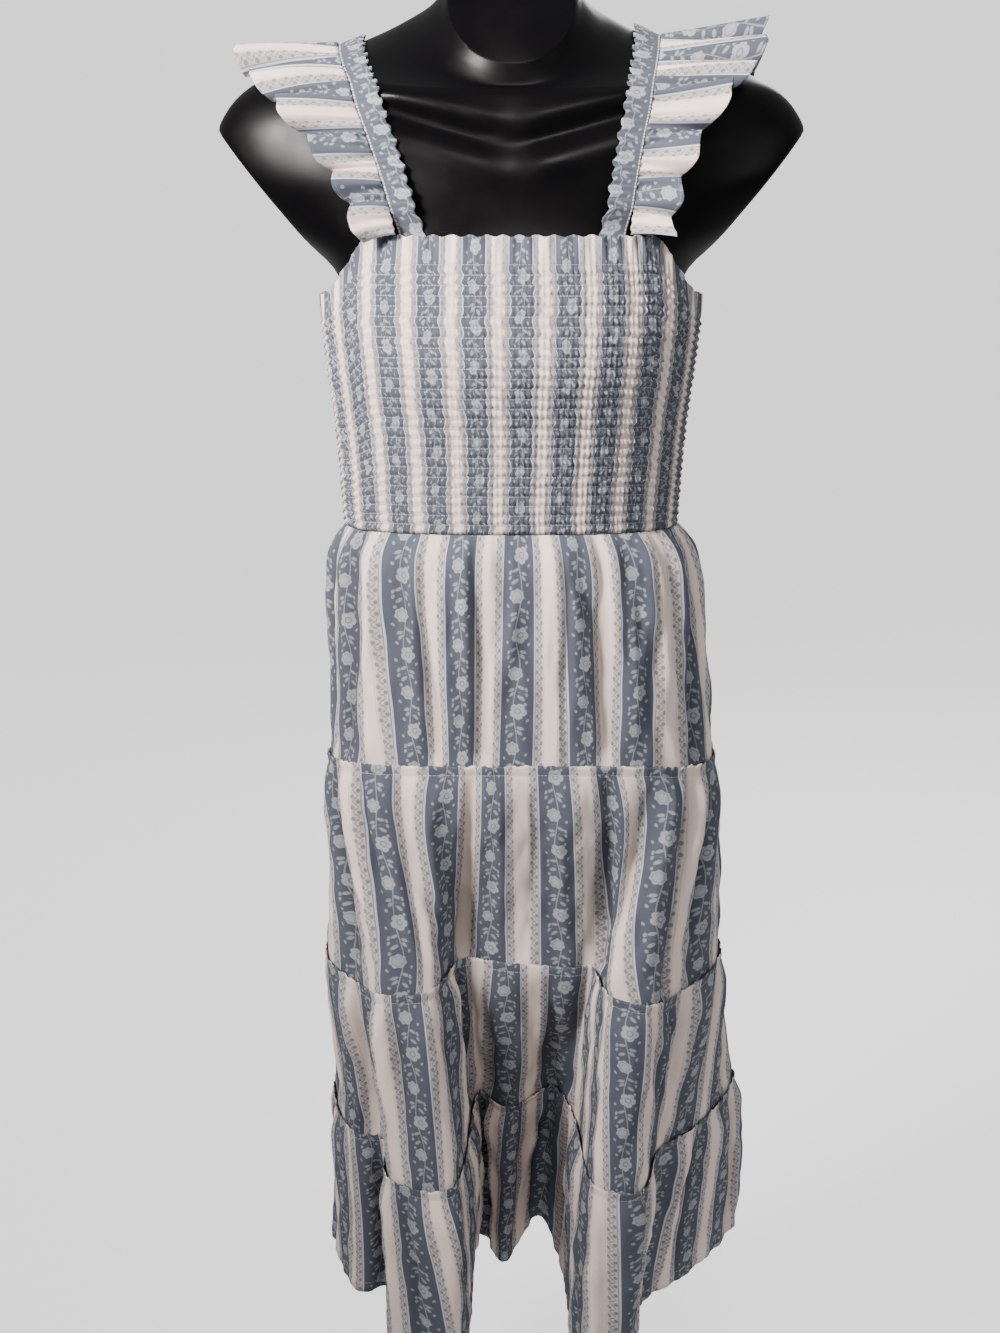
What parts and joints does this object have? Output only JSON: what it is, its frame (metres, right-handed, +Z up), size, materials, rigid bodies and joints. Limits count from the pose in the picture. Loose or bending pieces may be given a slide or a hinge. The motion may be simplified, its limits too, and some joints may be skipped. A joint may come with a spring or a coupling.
{
  "type": "midi dress on a dress form",
  "caption": "Sleeveless tiered midi dress with smocked bodice and flutter ruffle straps, worn by a glossy limbless torso form on a post and round base.",
  "frame": {"origin": "centre of the stand base's underside, on the floor", "axes": "+Z up, the front of the dress faces -Y, +X is the wearer's left"},
  "size_m": [0.4579, 0.33, 1.4532],
  "materials": {
    "print_cotton": "matt woven cotton, slate blue and cream floral stripes",
    "form_plastic": "glossy black moulded plastic",
    "stand_steel": "satin grey steel"
  },
  "bodies": {
    "root": {"bodice_front": "print_cotton", "bodice_back": "print_cotton", "strap_left": "print_cotton", "strap_right": "print_cotton", "ruffle_left": "print_cotton", "ruffle_right": "print_cotton", "tier_1_front": "print_cotton", "tier_1_back": "print_cotton", "tier_2_front": "print_cotton", "tier_2_back": "print_cotton", "tier_3_front": "print_cotton", "tier_3_back": "print_cotton", "tier_4_front": "print_cotton", "tier_4_back": "print_cotton", "torso_form": "form_plastic", "stand_post": "stand_steel", "stand_base": "stand_steel"}
  },
  "joints": []
}
